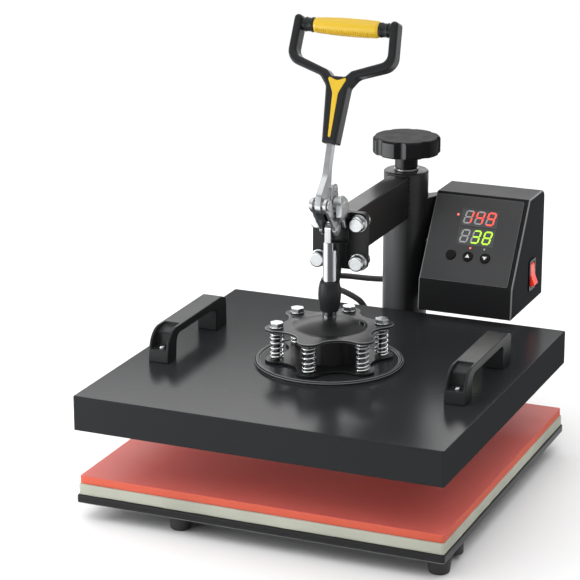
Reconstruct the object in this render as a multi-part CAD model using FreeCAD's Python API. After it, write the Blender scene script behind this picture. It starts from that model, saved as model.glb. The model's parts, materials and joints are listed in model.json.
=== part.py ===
import FreeCAD, Part
import math
import os

# Swing-away heat press with a 380 mm square platen.
#
# Every shape is drawn about the pressing axis: X to the right, Y to the rear, Z up from the
# bench, with the plunger shaft on X = Y = 0.  write() moves each one by FRAME_SHIFT, so that
# the finished part has its origin on the bench under the middle of the whole press.

V = FreeCAD.Vector
UP = V(0, 0, 1)

# ---------------------------------------------------------------- driving dimensions (mm)
PLATEN = 380.0              # square upper platen
PLATEN_BOTTOM = 95.0        # lower edge of the platen cover, lever up
PLATEN_TOP = 130.0
REAR = 286.0                # rearmost face, from the pressing axis
FRAME_SHIFT = V(0, -(REAR - PLATEN / 2) / 2, 0)

TRAY_X = 381.0              # lower tray
TRAY_Y = 377.0
TRAY_BACK = 2.0             # tray centre behind the pressing axis
TRAY_Z0 = 18.0
TRAY_Z1 = 26.0
FELT_Z1 = 37.0
PAD_Z1 = 45.0
RAIL_Z0 = 10.0              # underside of the frame under the tray

COLUMN_Y = 216.0            # post, sleeve and pressure screw
POST_R = 19.0
BUSH_R = 21.0
SLEEVE_R = 24.0
RUNNING = 0.05              # radial clearance of the running fits
SLEEVE_Z0 = 70.0
SLEEVE_Z1 = 273.5
CAP_Z1 = 279.0
SCREW_R = 8.0

ARM_HALF = 11.0             # arm tube
ARM_Z0 = 231.0
ARM_Z1 = 277.0
PLATE_Y = 25.0              # front face of the clamp plate
PLATE_T = 4.0
PLATE_HALF = 29.0
PLATE_Z0 = 221.5
PLATE_Z1 = 281.0
PLATE_BOLT_X = 21.0
PLATE_BOLT_Z = (230.3, 270.5)

SHAFT_R = 7.0               # plunger shaft
SHAFT_Z0 = 156.0
SHAFT_Z1 = 256.0
GUIDE_Z0 = 184.5            # barrel that guides the shaft
GUIDE_Z1 = 215.5

PIVOT_Z = 295.0             # fixed pivot of the hand lever, at Y = 0
LEVER_LEAN = 21.0           # degrees that the lever leans back when it is up
CRANK_Y = -25.6             # link pin from the pivot, lever up
CRANK_Z = 4.5
CLEVIS_Z = 269.8            # pin at the top of the plunger shaft
BAR_Y = -19.8               # lever bar in front of the pivot, in the lever's own plane

SEAT_Z = 136.0              # lower ends of the float springs
STAR_Z0 = 165.5
STAR_Z1 = 168.5
SPRING_PCD_R = 53.0
LOBE_R = 12.0
WAIST_R = 46.0

CASE_X0 = 31.0              # control box
CASE_X1 = 135.0
CASE_Z0 = 138.5
CASE_Z1 = 256.0
CASE_FRONT = 172.0
CASE_REAR = 281.3
SLOPE_Y0 = 174.0            # sloping face: foot and top
SLOPE_Z0 = 172.0
SLOPE_Y1 = 229.0
SLOPE_Z1 = CASE_Z1
WALL = 1.6

LEAD_R = 3.25               # heater lead

PARTS = {}


# ---------------------------------------------------------------- helpers
def box(x0, x1, y0, y1, z0, z1):
    return Part.makeBox(x1 - x0, y1 - y0, z1 - z0, V(x0, y0, z0))


def rod(radius, start, end):
    """Cylinder from one point to another."""
    axis = end.sub(start)
    return Part.makeCylinder(radius, axis.Length, start, axis)


def post(radius, x, y, z0, z1):
    return rod(radius, V(x, y, z0), V(x, y, z1))


def pin_x(radius, x0, x1, y, z):
    return rod(radius, V(x0, y, z), V(x1, y, z))


def outline(corners, place):
    """Closed wire through corners (a, b, radius); place turns (a, b) into a point."""
    pairs = []
    count = len(corners)
    for i, (a, b, radius) in enumerate(corners):
        here = V(a, b, 0)
        before = V(*corners[i - 1][:2], 0).sub(here)
        after = V(*corners[(i + 1) % count][:2], 0).sub(here)
        if radius <= 0:
            pairs.append((here, None, here))
            continue
        before.normalize()
        after.normalize()
        half = before.getAngle(after) / 2
        reach = radius / math.tan(half)
        inward = before.add(after)
        inward.normalize()
        centre = here.add(inward * (radius / math.sin(half)))
        pairs.append((here.add(before * reach), centre.sub(inward * radius), here.add(after * reach)))
    edges = []
    for i, (start, middle, end) in enumerate(pairs):
        if middle is not None:
            edges.append(Part.Arc(place(start), place(middle), place(end)).toShape())
        following = pairs[(i + 1) % count][0]
        if end.sub(following).Length > 1e-6:
            edges.append(Part.LineSegment(place(end), place(following)).toShape())
    return Part.Wire(edges)


def slab_x(corners, x0, x1):
    """Plate whose outline is in the Y-Z plane."""
    wire = outline(corners, lambda p: V(x0, p.x, p.y))
    return Part.Face(wire).extrude(V(x1 - x0, 0, 0))


def slab_y(corners, y0, y1):
    """Plate whose outline is in the X-Z plane."""
    wire = outline(corners, lambda p: V(p.x, y0, p.y))
    return Part.Face(wire).extrude(V(0, y1 - y0, 0))


def slab_z(corners, z0, z1):
    """Plate whose outline is in the X-Y plane."""
    wire = outline(corners, lambda p: V(p.x, p.y, z0))
    return Part.Face(wire).extrude(V(0, 0, z1 - z0))


def rectangle(a0, a1, b0, b1, radius):
    return [(a0, b0, radius), (a1, b0, radius), (a1, b1, radius), (a0, b1, radius)]


def turned(profile, x, y):
    """Solid of revolution about the vertical through (x, y), from (radius, z) points."""
    points = [V(x + r, y, z) for r, z in profile]
    wire = Part.makePolygon(points + [points[0]])
    return Part.Face(wire).revolve(V(x, y, 0), UP, 360)


def hexagon(across, x, y, z0, z1):
    radius = across / math.sqrt(3)
    corners = []
    for k in range(6):
        angle = math.radians(60 * k)
        corners.append((x + radius * math.cos(angle), y + radius * math.sin(angle), 0))
    return slab_z(corners, z0, z1)


def fuse(*shapes):
    whole = shapes[0]
    for shape in shapes[1:]:
        whole = whole.fuse(shape)
    return whole.removeSplitter()


def cut(shape, *tools):
    for tool in tools:
        shape = shape.cut(tool)
    return shape


def group(shapes):
    """Separate identical pieces that share one node."""
    return Part.makeCompound(shapes)


def polar(radius, degrees, z):
    angle = math.radians(degrees)
    return V(radius * math.cos(angle), radius * math.sin(angle), z)


def write(name, shape):
    shape = shape.copy()
    shape.translate(FRAME_SHIFT)
    if isinstance(shape, Part.Compound) and len(shape.Solids) == 1:
        shape = shape.Solids[0]
    if not shape.isValid():
        print("NOT VALID", name)
    PARTS[name] = shape
    shape.exportStep("parts/" + name + ".step")


# ---------------------------------------------------------------- base
FRONT_FEET = ((-88.0, -165.0), (178.0, -164.0))
REAR_FEET = ((-95.0, 262.0), (95.0, 262.0))
BUMPERS = ((-180.0, -128.0), (180.0, -128.0))
POST_BOLTS = ((-36.0, 206.0), (36.0, 206.0), (-36.0, 268.0), (36.0, 268.0))
SPINE_HALF = 45.0
CROSSBAR_Y0 = 240.0
FLANGE_Y0 = 192.5


def build_tray():
    half_x = TRAY_X / 2
    front = TRAY_BACK - TRAY_Y / 2
    rear = TRAY_BACK + TRAY_Y / 2
    outer = slab_z(rectangle(-half_x, half_x, front, rear, 3.0), TRAY_Z0, TRAY_Z1)
    rim = [edge for edge in outer.Edges if abs(edge.BoundBox.ZMin - TRAY_Z1) < 1e-6]
    outer = outer.makeFillet(1.5, rim)
    skin = 2.0
    inside = box(-half_x + skin, half_x - skin, front + skin, rear - skin, TRAY_Z0 - 1, TRAY_Z1 - skin)
    tray = cut(outer, inside)
    lands = []
    for x, y in FRONT_FEET + BUMPERS:
        lands.append(post(9.0, x, y, TRAY_Z0, TRAY_Z1 - skin))
    spacer = box(-SPINE_HALF, SPINE_HALF, -120, rear - skin, TRAY_Z0, TRAY_Z1 - skin)
    tray = fuse(tray, spacer, *lands)
    for x, y in FRONT_FEET:
        tray = tray.cut(post(2.6, x, y, TRAY_Z0 - 1, TRAY_Z1 - skin - 1))
    write("lower_tray", tray)


def build_frame():
    spine = box(-SPINE_HALF, SPINE_HALF, -120, CROSSBAR_Y0, RAIL_Z0, TRAY_Z0)
    write("base_spine", spine)
    bar = slab_z(rectangle(-112, 112, CROSSBAR_Y0, REAR, 6.0), RAIL_Z0, TRAY_Z0)
    for x, y in REAR_FEET:
        bar = bar.cut(post(2.6, x, y, RAIL_Z0 - 1, TRAY_Z0 + 1))
    for x, y in POST_BOLTS[2:]:
        bar = bar.cut(post(4.0, x, y, RAIL_Z0 - 1, TRAY_Z0 + 1))
    write("rear_crossbar", bar)


def foot(x, y, height, top_radius, low_radius):
    """Tapered rubber foot with a recess for its screw."""
    body = turned([(0, 0), (low_radius - 1, 0), (low_radius, 1), (top_radius, height), (0, height)], x, y)
    return cut(body, post(5.0, x, y, -1, height - 5), post(2.6, x, y, 0, height + 1))


def build_feet():
    feet = [foot(x, y, TRAY_Z0, 12.5, 10.0) for x, y in FRONT_FEET]
    feet += [foot(x, y, RAIL_Z0, 13.0, 11.0) for x, y in REAR_FEET]
    for x, y in BUMPERS:
        feet.append(turned([(0, 4), (7, 4), (9, 6), (9, TRAY_Z0), (0, TRAY_Z0)], x, y))
    write("rubber_feet", group(feet))
    screws = []
    for x, y in FRONT_FEET:
        screws.append(fuse(post(4.5, x, y, TRAY_Z0 - 8, TRAY_Z0 - 5), post(2.5, x, y, TRAY_Z0 - 5, TRAY_Z0 + 4)))
    for x, y in REAR_FEET:
        screws.append(fuse(post(4.5, x, y, RAIL_Z0 - 8, RAIL_Z0 - 5), post(2.5, x, y, RAIL_Z0 - 5, RAIL_Z0 + 7)))
    write("foot_screws", group(screws))


def build_post():
    flange = slab_z(rectangle(-50, 50, FLANGE_Y0, REAR - 2, 6.0), TRAY_Z0, TRAY_Z0 + 8)
    top = 236.0
    tube = post(POST_R, 0, COLUMN_Y, TRAY_Z0 + 8, top)
    gussets = []
    for side in (-1, 1):
        gussets.append(slab_y([(side * 18, 26, 0), (side * 46, 26, 0), (side * 18, 56, 0)],
                              COLUMN_Y - 2.5, COLUMN_Y + 2.5))
    whole = fuse(flange, tube, *gussets)
    whole = whole.cut(post(POST_R - 3, 0, COLUMN_Y, TRAY_Z0 - 1, top + 1))
    for x, y in POST_BOLTS:
        whole = whole.cut(post(4.3, x, y, TRAY_Z0 - 1, TRAY_Z0 + 9))
    write("inner_post", whole)
    nut = post(POST_R - 3, 0, COLUMN_Y, top - 24, top)
    nut = nut.cut(post(SCREW_R + RUNNING, 0, COLUMN_Y, top - 30, top + 1))
    write("post_nut", nut)
    bolts = []
    for x, y in POST_BOLTS:
        low = RAIL_Z0 + 1 if y > CROSSBAR_Y0 else TRAY_Z0
        shank = post(4.0, x, y, low, TRAY_Z0 + 8)
        bolts.append(fuse(shank, hexagon(13.0, x, y, TRAY_Z0 + 8, TRAY_Z0 + 13.5)))
    write("post_bolts", group(bolts))


def build_pads():
    felt_x = TRAY_X / 2 - 1
    front = TRAY_BACK - TRAY_Y / 2
    rear = TRAY_BACK + TRAY_Y / 2
    write("felt_pad", slab_z(rectangle(-felt_x, felt_x, front + 2, rear - 2, 2.0), TRAY_Z1, FELT_Z1))
    pad_x = felt_x - 1
    write("silicone_pad", slab_z(rectangle(-pad_x, pad_x, front + 4, rear - 4, 2.0), FELT_Z1, PAD_Z1))


# ---------------------------------------------------------------- column
def build_lift():
    """Bush that slides on the post and carries the head; the sleeve turns on it."""
    low = SLEEVE_Z0 - 4
    bush = fuse(post(BUSH_R, 0, COLUMN_Y, low, low + 150), post(SLEEVE_R, 0, COLUMN_Y, low, SLEEVE_Z0 - 0.3))
    bush = bush.cut(post(POST_R + RUNNING, 0, COLUMN_Y, low - 1, low + 151))
    write("lift_bush", bush)
    washer = post(13.0, 0, COLUMN_Y, CAP_Z1 + 0.3, CAP_Z1 + 2.3)
    washer = washer.cut(post(SCREW_R + 0.4, 0, COLUMN_Y, CAP_Z1, CAP_Z1 + 3))
    write("thrust_washer", washer)


def build_column():
    sleeve = post(SLEEVE_R, 0, COLUMN_Y, SLEEVE_Z0, SLEEVE_Z1)
    sleeve = sleeve.cut(post(BUSH_R + RUNNING, 0, COLUMN_Y, SLEEVE_Z0 - 1, SLEEVE_Z1 + 1))
    cap = turned([(0, SLEEVE_Z1), (SLEEVE_R, SLEEVE_Z1), (SLEEVE_R, CAP_Z1 - 1.2),
                  (SLEEVE_R - 1.2, CAP_Z1), (0, CAP_Z1)], 0, COLUMN_Y)
    plug = post(BUSH_R + 1, 0, COLUMN_Y, SLEEVE_Z1 - 12, SLEEVE_Z1)
    cap = fuse(cap, plug)
    sleeve = fuse(sleeve, cap)
    sleeve = sleeve.cut(post(SCREW_R + 0.4, 0, COLUMN_Y, SLEEVE_Z1 - 20, CAP_Z1 + 1))
    write("column_sleeve", sleeve)


KNOB_Z0 = CAP_Z1 + 2.6
KNOB_RIM_Z0 = 297.5
KNOB_RIM_Z1 = 315.8
KNOB_R = 36.0
KNOB_LOBES = 8


def build_knob():
    hub = post(12.2, 0, COLUMN_Y, KNOB_Z0, KNOB_RIM_Z0 + 2)
    rim = turned([(0, KNOB_RIM_Z0), (KNOB_R - 1.5, KNOB_RIM_Z0), (KNOB_R, KNOB_RIM_Z0 + 1.5),
                  (KNOB_R, KNOB_RIM_Z1 - 2), (KNOB_R - 2, KNOB_RIM_Z1), (0, KNOB_RIM_Z1 + 1)], 0, COLUMN_Y)
    knob = fuse(hub, rim)
    for k in range(KNOB_LOBES):
        angle = 360.0 / KNOB_LOBES * k + 9
        place = polar(KNOB_R + 3.6, angle, 0)
        knob = knob.cut(post(7.0, place.x, COLUMN_Y + place.y, KNOB_RIM_Z0 - 1, KNOB_RIM_Z1 + 2))
    knob = knob.cut(post(SCREW_R, 0, COLUMN_Y, KNOB_Z0 - 1, KNOB_RIM_Z1 - 6))
    write("pressure_knob", knob)
    write("pressure_screw", post(SCREW_R, 0, COLUMN_Y, 178.0, KNOB_RIM_Z1 - 6))


# ---------------------------------------------------------------- arm and toggle head
def plate_outline():
    return rectangle(-PLATE_HALF, PLATE_HALF, PLATE_Z0, PLATE_Z1, 6.0)


def bolt_places():
    return [(side * PLATE_BOLT_X, z) for side in (-1, 1) for z in PLATE_BOLT_Z]


def build_arm():
    back = COLUMN_Y
    arm = box(-ARM_HALF, ARM_HALF, PLATE_Y + PLATE_T, back, ARM_Z0, ARM_Z1)
    flange = slab_y(plate_outline(), PLATE_Y + PLATE_T, PLATE_Y + 2 * PLATE_T)
    arm = fuse(arm, flange)
    wall = 2.5
    arm = arm.cut(box(-ARM_HALF + wall, ARM_HALF - wall, PLATE_Y + 2 * PLATE_T, back + 1,
                      ARM_Z0 + wall, ARM_Z1 - wall))
    arm = arm.cut(post(SLEEVE_R, 0, COLUMN_Y, ARM_Z0 - 1, ARM_Z1 + 1))
    for x, z in bolt_places():
        arm = arm.cut(rod(4.0, V(x, PLATE_Y - 1, z), V(x, PLATE_Y + 10, z)))
    write("arm_tube", arm)


def build_plate():
    plate = slab_y(plate_outline(), PLATE_Y, PLATE_Y + PLATE_T)
    bolts = []
    for x, z in bolt_places():
        plate = plate.cut(rod(4.0, V(x, PLATE_Y - 1, z), V(x, PLATE_Y + 10, z)))
        washer = rod(9.0, V(x, PLATE_Y, z), V(x, PLATE_Y - 2, z))
        head = rod(7.8, V(x, PLATE_Y - 2, z), V(x, PLATE_Y - 10, z))
        head = head.makeFillet(1.6, [e for e in head.Edges if abs(e.BoundBox.YMax - (PLATE_Y - 10)) < 1e-6])
        shank = rod(4.0, V(x, PLATE_Y - 2, z), V(x, PLATE_Y + 16, z))
        nut = rod(7.0, V(x, PLATE_Y + 2 * PLATE_T, z), V(x, PLATE_Y + 14.5, z))
        bolts.append(fuse(washer, head, shank, nut))
    write("clamp_plate", plate)
    write("clamp_bolts", group(bolts))


CHEEK_X0 = 10.0             # toggle bracket cheeks
CHEEK_X1 = 12.8
PAD_X1 = 16.0               # thick pads of the cheeks round the lever's pivot
WEB_HALF = 11.6
BOSS_R = 8.2
PIN_R = 4.0
STOP_R = 2.6
STOP_Y = 9.0
STOP_Z = 274.0


def build_bracket():
    """Two cheeks on a web; the lever's fixed pivot runs between them in spacers."""
    rear = PLATE_Y - 3
    top = PIVOT_Z + 9.2
    cheek = [(rear, PLATE_Z1, 0), (rear, 264, 0), (9, 268, 3), (3, 276.5, 4), (-6.5, 279, 2),
             (-9.2, 284, 4), (-9.2, top, 9), (9.2, top, 9), (9.2, 286, 6)]
    pad = [(-6.5, 279, 2), (-9.2, 284, 4), (-9.2, top, 9), (9.2, top, 9), (9.2, 279, 2)]
    cheeks = []
    for side in (-1, 1):
        cheeks.append(slab_x(cheek, *sorted((side * CHEEK_X0, side * CHEEK_X1))))
        swell = slab_y([(side * CHEEK_X0, 278, 0), (side * 12.6, 278, 2), (side * PAD_X1, 286, 5),
                        (side * PAD_X1, 297, 5), (side * 12.4, top, 3), (side * CHEEK_X0, top, 0)], -10, 10)
        cheeks.append(slab_x(pad, *sorted((side * CHEEK_X0, side * PAD_X1))).common(swell))
    web = box(-WEB_HALF, WEB_HALF, rear - 1, PLATE_Y, 264, PLATE_Z1)
    tail = box(-WEB_HALF, WEB_HALF, rear, PLATE_Y, 252, 264)
    bracket = fuse(web, tail, *cheeks)
    bracket = bracket.cut(pin_x(PIN_R, -20, 20, 0, PIVOT_Z))
    bracket = bracket.cut(pin_x(STOP_R, -20, 0, STOP_Y, STOP_Z))
    write("toggle_bracket", bracket)
    pivot = pin_x(PIN_R, -PAD_X1 - 0.4, PAD_X1 + 0.4, 0, PIVOT_Z)
    stop = fuse(pin_x(STOP_R, -CHEEK_X1, -9.9, STOP_Y, STOP_Z),
                pin_x(4.0, -CHEEK_X1 - 3, -CHEEK_X1, STOP_Y, STOP_Z))
    spacers = []
    for side in (-1, 1):
        ring = pin_x(BOSS_R, side * 5.6, side * CHEEK_X0, 0, PIVOT_Z)
        spacers.append(ring.cut(pin_x(PIN_R, side * 5, side * (CHEEK_X0 + 0.5), 0, PIVOT_Z)))
    write("pivot_pins", group([pivot, stop] + spacers))


def build_guide():
    """Barrel on a gusset that carries it from the foot of the clamp plate."""
    barrel = turned([(0, GUIDE_Z0), (9, GUIDE_Z0), (10.3, 190), (11.3, 196), (11.6, 202), (11.3, 208),
                     (10.0, 214), (9, GUIDE_Z1), (0, GUIDE_Z1)], 0, 0)
    gusset = slab_x([(4, 196, 0), (14, 202, 5), (PLATE_Y - 3, PLATE_Z0, 0), (PLATE_Y - 3, 250, 0),
                     (PLATE_Y - 7, 250, 0), (16, 224, 4), (4, 213, 0)], -4.0, 4.0)
    foot_plate = box(-9, 9, PLATE_Y - 3, PLATE_Y, PLATE_Z0 + 3, 250)
    guide = fuse(barrel, gusset, foot_plate)
    guide = guide.cut(post(SHAFT_R + RUNNING, 0, 0, GUIDE_Z0 - 1, GUIDE_Z1 + 40))
    write("shaft_guide", guide)


# ---------------------------------------------------------------- hand lever
LEVER_HINGE = V(0, 0, PIVOT_Z)
HANDLE_HALF = 8.5
HANDLE_ROUND = 2.8
GRIP_H = 172.0              # grip centre, along the lever from its pivot
GRIP_HALF = 34.0
GRIP_CORE_R = 6.4
STEM_H0 = 56.0
LUG = (0, -21.5, -4.5)        # across, forward and up from the lever's pivot, in its own plane
RIVET_Y = -3.5
RIVET_Z = 14.5


def lean(shape):
    """Put a shape drawn in the lever's own upright plane into its open position."""
    shape = shape.copy()
    shape.rotate(V(0, 0, 0), V(1, 0, 0), -LEVER_LEAN)
    shape.translate(LEVER_HINGE)
    return shape


def crank_in_lever():
    angle = math.radians(LEVER_LEAN)
    y = CRANK_Y * math.cos(angle) - CRANK_Z * math.sin(angle)
    z = CRANK_Y * math.sin(angle) + CRANK_Z * math.cos(angle)
    return y, z


def build_lever():
    crank_y, crank_z = crank_in_lever()
    plate = slab_x([(9, -9, 8), (9, 9, 8), (-10, 14, 5), (BAR_Y + 4.5, 34, 12), (BAR_Y + 4.5, 60, 0),
                    (BAR_Y - 4.5, 60, 0), (BAR_Y - 4.5, 24, 16), (crank_y - 8, 4, 6),
                    (crank_y - 6, crank_z - 9, 7), (-16, -12, 5)], -3.0, 3.0)
    bar = box(-3, 3, BAR_Y - 4.5, BAR_Y + 4.5, 55, 112)
    # doubling plates riveted to both sides, and the lug that meets the stop
    ear = [(7.5, -7.5, 7), (7.5, 8, 6), (-1, 21, 6.4), (-14, 17, 6), (-9, -7.5, 7)]
    ears = [slab_x(ear, -5.2, -3.0), slab_x(ear, 3.0, 5.2)]
    lug = box(-5.2, 5.2, -4, 4, -4.5, 4.5)
    lug.rotate(V(0, 0, 0), V(1, 0, 0), 35)
    lug.translate(V(*LUG))
    rivet = pin_x(3.2, -6.4, 6.4, RIVET_Y, RIVET_Z)
    lever = fuse(plate, bar, lug, rivet, *ears)
    lever = lever.cut(pin_x(PIN_R + RUNNING, -10, 10, 0, 0))
    lever = lever.cut(pin_x(PIN_R, -10, 10, crank_y, crank_z))
    write("lever_bar", lean(lever))
    pin = pin_x(PIN_R, -9.0, 9.0, crank_y, crank_z)
    caps = [pin_x(5.4, 8.9, 10.6, crank_y, crank_z), pin_x(5.4, -10.6, -8.9, crank_y, crank_z)]
    write("link_pin", lean(fuse(pin, *caps)))


def handle_half(side):
    """Right or left half of the handle's outline, from the stem's foot to the notch."""
    return [(side * 7.5, STEM_H0, 1.5), (side * 11.5, 112, 8), (side * 19, 122, 12), (side * 56.9, 134.2, 16),
            (side * 54.3, 180.5, 4), (side * 46, 180.5, 4), (side * 48.3, 141.0, 9), (side * 13, 128.5, 4),
            (side * 7, 122.5, 3)]


INLAY = [(-1.3, 62, 1.2), (1.3, 62, 1.2), (3.0, 106, 12), (9.4, 119, 1.4), (8.6, 121.2, 1.0),
         (0.0, 118.0, 6), (-8.6, 121.2, 1.0), (-9.4, 119, 1.4), (-3.0, 106, 12)]


def rim_edges(shape):
    """Edges where the front or back face of the handle meets its side walls."""
    facing = {}
    for face in shape.Faces:
        middle = face.Surface.parameter(face.CenterOfMass)
        across = abs(face.normalAt(*middle).y) < 0.1
        for edge in face.Edges:
            facing.setdefault(edge.hashCode(), [edge]).append(across)
    return [entry[0] for entry in facing.values() if sorted(entry[1:]) == [False, True]]


def build_handle():
    corners = handle_half(1) + list(reversed(handle_half(-1)))
    frame = slab_y(corners, BAR_Y - HANDLE_HALF, BAR_Y + HANDLE_HALF)
    frame = frame.makeFillet(HANDLE_ROUND, rim_edges(frame))
    grip_core = pin_x(GRIP_CORE_R, -46.5, 46.5, BAR_Y, GRIP_H)
    frame = fuse(frame, grip_core)
    front = BAR_Y - HANDLE_HALF
    pocket = slab_y(INLAY, front - 1, front + 1.6)
    socket = box(-3, 3, BAR_Y - 4.5, BAR_Y + 4.5, STEM_H0 - 1, 112)
    frame = cut(frame, pocket, socket)
    write("handle_frame", lean(frame))
    write("handle_inlay", lean(slab_y(INLAY, front, front + 1.6)))
    start = V(-GRIP_HALF, BAR_Y, GRIP_H + 7.6)
    end = V(GRIP_HALF, BAR_Y, GRIP_H + 8.6)
    barrel = Part.Arc(start, V(4, BAR_Y, GRIP_H + 9.2), end).toShape()
    core = [V(-GRIP_HALF, BAR_Y, GRIP_H + GRIP_CORE_R), V(GRIP_HALF, BAR_Y, GRIP_H + GRIP_CORE_R)]
    under = Part.makePolygon([start] + core + [end])
    face = Part.Face(Part.Wire([barrel] + under.Edges))
    write("grip_sleeve", lean(face.revolve(V(0, BAR_Y, GRIP_H), V(1, 0, 0), 360)))


LINK_X0 = 5.5
LINK_X1 = 8.5


def build_links():
    """Pair of side links from the crank pin to the plunger's clevis."""
    top = V(0, CRANK_Y, PIVOT_Z + CRANK_Z)
    low = V(0, 0, CLEVIS_Z)
    run = low.sub(top)
    run.normalize()
    side = V(0, -run.z, run.y)
    links = []
    for sign in (-1, 1):
        x0 = sign * LINK_X0
        x1 = sign * LINK_X1
        ends = [pin_x(7.5, x0, x1, top.y, top.z), pin_x(7.0, x0, x1, low.y, low.z)]
        waist = [top.add(side * 5.5), low.add(side * 5.2), low.sub(side * 5.2), top.sub(side * 5.5)]
        wire = Part.makePolygon([V(x0, p.y, p.z) for p in waist + [waist[0]]])
        web = Part.Face(wire).extrude(V(x1 - x0, 0, 0))
        cap = pin_x(4.6, x1, x1 + sign * 1.2, low.y, low.z)
        link = fuse(web, cap, *ends)
        links.append(link.cut(pin_x(PIN_R + RUNNING, sign * 5, sign * 9, top.y, top.z)))
    write("toggle_links", group(links))


# ---------------------------------------------------------------- plunger
def build_plunger():
    shaft = post(SHAFT_R, 0, 0, SHAFT_Z0, SHAFT_Z1)
    half = 6.0
    tang = slab_x([(-half, SHAFT_Z1 - 2, 0), (half, SHAFT_Z1 - 2, 0), (half, CLEVIS_Z + half, half - 0.1),
                   (-half, CLEVIS_Z + half, half - 0.1)], -3.4, 3.4)
    shaft = fuse(shaft, tang)
    for side in (-1, 1):
        flat = box(0, 4, -10, 10, SHAFT_Z1 - 8, SHAFT_Z1 + 1)
        flat.translate(V(5.1 if side > 0 else -9.1, 0, 0))
        shaft = shaft.cut(flat)
    shaft = shaft.cut(pin_x(3.0, -5, 5, 0, CLEVIS_Z))
    write("plunger_shaft", shaft)
    write("clevis_pin", pin_x(3.0, -4.6, 4.6, 0, CLEVIS_Z))


def star(z0, z1):
    """Six round lobes joined by hollow waists."""
    edges = []
    reach = math.radians(75)
    for k in range(6):
        base = 30 + 60 * k
        points = []
        for turn in (-reach, 0.0, reach):
            angle = math.radians(base) + turn
            centre = polar(SPRING_PCD_R, base, z0)
            points.append(centre.add(V(LOBE_R * math.cos(angle), LOBE_R * math.sin(angle), 0)))
        edges.append(Part.Arc(*points).toShape())
        waist = polar(WAIST_R, base + 30, z0)
        following = math.radians(base + 60) - reach
        centre = polar(SPRING_PCD_R, base + 60, z0)
        start = centre.add(V(LOBE_R * math.cos(following), LOBE_R * math.sin(following), 0))
        edges.append(Part.Arc(points[2], waist, start).toShape())
    return Part.Face(Part.Wire(edges)).extrude(V(0, 0, z1 - z0))


DOME_R = 39.0
DOME_H = 9.0
DOME_SLOTS = (20, 170)
FLOAT_BOLT_R = 3.0
SPRING_ANGLES = [30 + 60 * k for k in range(6)]
FRONT_STUDS = (270, 330)


def build_star():
    ball = (DOME_R ** 2 + DOME_H ** 2) / (2 * DOME_H)
    centre = V(0, 0, STAR_Z1 + DOME_H - ball)
    keep = post(DOME_R, 0, 0, STAR_Z0, STAR_Z1 + DOME_H + 1)
    outer = Part.makeSphere(ball, centre).common(keep)
    inner = Part.makeSphere(ball - 3.0, centre)
    plate = star(STAR_Z0, STAR_Z1).cut(post(DOME_R - 6, 0, 0, STAR_Z0 - 1, STAR_Z1 + 1))
    dome = outer.cut(inner)
    whole = fuse(plate, dome)
    for angle in DOME_SLOTS:
        slot = slab_z([(-2, -7, 1.9), (2, -7, 1.9), (2, 7, 1.9), (-2, 7, 1.9)], STAR_Z0, STAR_Z1 + DOME_H)
        slot.translate(V(32.5, 0, 0))
        slot.rotate(V(0, 0, 0), UP, angle)
        whole = whole.cut(slot)
    whole = whole.cut(post(SHAFT_R, 0, 0, STAR_Z0 - 5, STAR_Z1 + DOME_H + 5))
    for angle in SPRING_ANGLES:
        hole = polar(SPRING_PCD_R, angle, 0)
        if angle not in FRONT_STUDS:
            whole = whole.cut(post(FLOAT_BOLT_R + 0.35, hole.x, hole.y, STAR_Z0 - 1, STAR_Z1 + 1))
    write("star_plate", whole)


# ---------------------------------------------------------------- platen
HALF = PLATEN / 2
SKIN = 1.5
HOT_Z0 = 93.5
HOT_Z1 = 105.5
TERMINAL_X = -35.0
GLAND_X = -32.5
GLAND_Y = 202.0
HANDLE_X = 157.0
HANDLE_W = 11.0


def build_platen_cover():
    cover = slab_z(rectangle(-HALF, HALF, -HALF, HALF, 2.5), PLATEN_BOTTOM, PLATEN_TOP)
    rim = [edge for edge in cover.Edges if abs(edge.BoundBox.ZMin - PLATEN_TOP) < 1e-6]
    cover = cover.makeFillet(1.4, rim)
    inside = box(-HALF + SKIN, HALF - SKIN, -HALF + SKIN, HALF - SKIN, PLATEN_BOTTOM - 1, PLATEN_TOP - SKIN)
    cover = cover.cut(inside)
    write("platen_cover", cover)


def build_heater():
    half = HALF - SKIN - 2.5
    hot = slab_z(rectangle(-half, half, -half, half, 3.0), HOT_Z0, HOT_Z1)
    write("heating_plate", hot)
    # serpentine tube clamped on top of the plate
    rows = 5
    reach = 140.0
    pitch = 56.0
    r = 4.0
    z = HOT_Z1 + r
    first = -pitch * (rows - 1) / 2
    edges = []
    for k in range(rows):
        y = first + pitch * k
        side = 1 if k % 2 == 0 else -1
        edges.append(Part.LineSegment(V(-side * reach, y, z), V(side * reach, y, z)).toShape())
        if k < rows - 1:
            edges.append(Part.Arc(V(side * reach, y, z), V(side * (reach + pitch / 2), y + pitch / 2, z),
                                  V(side * reach, y + pitch, z)).toShape())
    path = Part.Wire(edges)
    section = Part.Wire([Part.Circle(V(-reach, first, z), V(1, 0, 0), r).toShape()])
    write("heating_element", path.makePipeShell([section], True, False))
    blanket = slab_z(rectangle(-half, half, -half, half, 3.0), HOT_Z1 + 2 * r + 0.5, PLATEN_TOP - SKIN - 1)
    blanket = blanket.cut(box(-70, -50, 150, half + 1, HOT_Z1, PLATEN_TOP))
    write("insulation_blanket", blanket)
    probe = fuse(post(4.5, -60, 168, HOT_Z1, HOT_Z1 + 12), box(-66, -54, 162, 174, HOT_Z1, HOT_Z1 + 3))
    write("thermostat_probe", probe)


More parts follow.
